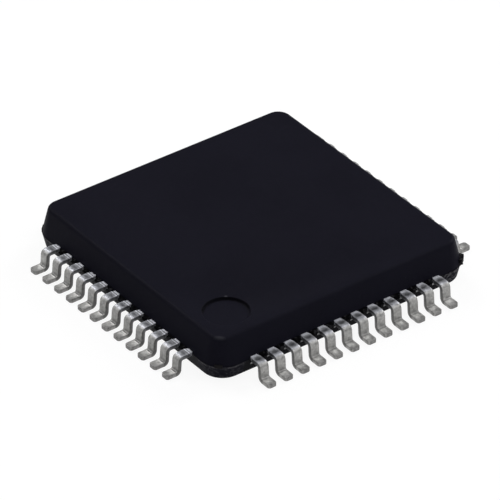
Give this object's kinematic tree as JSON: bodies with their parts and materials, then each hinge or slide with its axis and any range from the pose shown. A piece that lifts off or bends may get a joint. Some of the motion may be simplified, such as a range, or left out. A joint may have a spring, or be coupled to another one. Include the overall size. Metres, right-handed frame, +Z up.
{
  "type": "quad flat pack chip",
  "caption": "Square black moulded surface-mount chip with gull-wing leads on all four sides and a round pin-one dimple in its top face.",
  "frame": {"origin": "centre of the package on the seating plane, where the feet of the leads touch a board", "axes": "+Z up out of the top face; lead 1 and the pin-one dimple at the -X -Y corner; leads 1 to 12 on the -Y side from -X to +X, then 13 to 24 on +X, 25 to 36 on +Y and 37 to 48 on -X, anticlockwise seen from above"},
  "size_m": [0.012, 0.012, 0.0015],
  "materials": {
    "compound": "fine matte, moulded epoxy compound",
    "tinned_lead": "matte tin plate on copper alloy",
    "bare_frame": "bare copper alloy sheet",
    "adhesive": "silver-filled epoxy",
    "silicon": "polished silicon",
    "bond_wire": "drawn gold wire"
  },
  "bodies": {
    "root": {"mould_body": "compound", "lead_01": "tinned_lead", "lead_02": "tinned_lead", "lead_03": "tinned_lead", "lead_04": "tinned_lead", "lead_05": "tinned_lead", "lead_06": "tinned_lead", "lead_07": "tinned_lead", "lead_08": "tinned_lead", "lead_09": "tinned_lead", "lead_10": "tinned_lead", "lead_11": "tinned_lead", "lead_12": "tinned_lead", "lead_13": "tinned_lead", "lead_14": "tinned_lead", "lead_15": "tinned_lead", "lead_16": "tinned_lead", "lead_17": "tinned_lead", "lead_18": "tinned_lead", "lead_19": "tinned_lead", "lead_20": "tinned_lead", "lead_21": "tinned_lead", "lead_22": "tinned_lead", "lead_23": "tinned_lead", "lead_24": "tinned_lead", "lead_25": "tinned_lead", "lead_26": "tinned_lead", "lead_27": "tinned_lead", "lead_28": "tinned_lead", "lead_29": "tinned_lead", "lead_30": "tinned_lead", "lead_31": "tinned_lead", "lead_32": "tinned_lead", "lead_33": "tinned_lead", "lead_34": "tinned_lead", "lead_35": "tinned_lead", "lead_36": "tinned_lead", "lead_37": "tinned_lead", "lead_38": "tinned_lead", "lead_39": "tinned_lead", "lead_40": "tinned_lead", "lead_41": "tinned_lead", "lead_42": "tinned_lead", "lead_43": "tinned_lead", "lead_44": "tinned_lead", "lead_45": "tinned_lead", "lead_46": "tinned_lead", "lead_47": "tinned_lead", "lead_48": "tinned_lead", "die_pad": "bare_frame", "die_attach": "adhesive", "die": "silicon", "bond_wires_front": "bond_wire", "bond_wires_right": "bond_wire", "bond_wires_back": "bond_wire", "bond_wires_left": "bond_wire"}
  },
  "joints": []
}
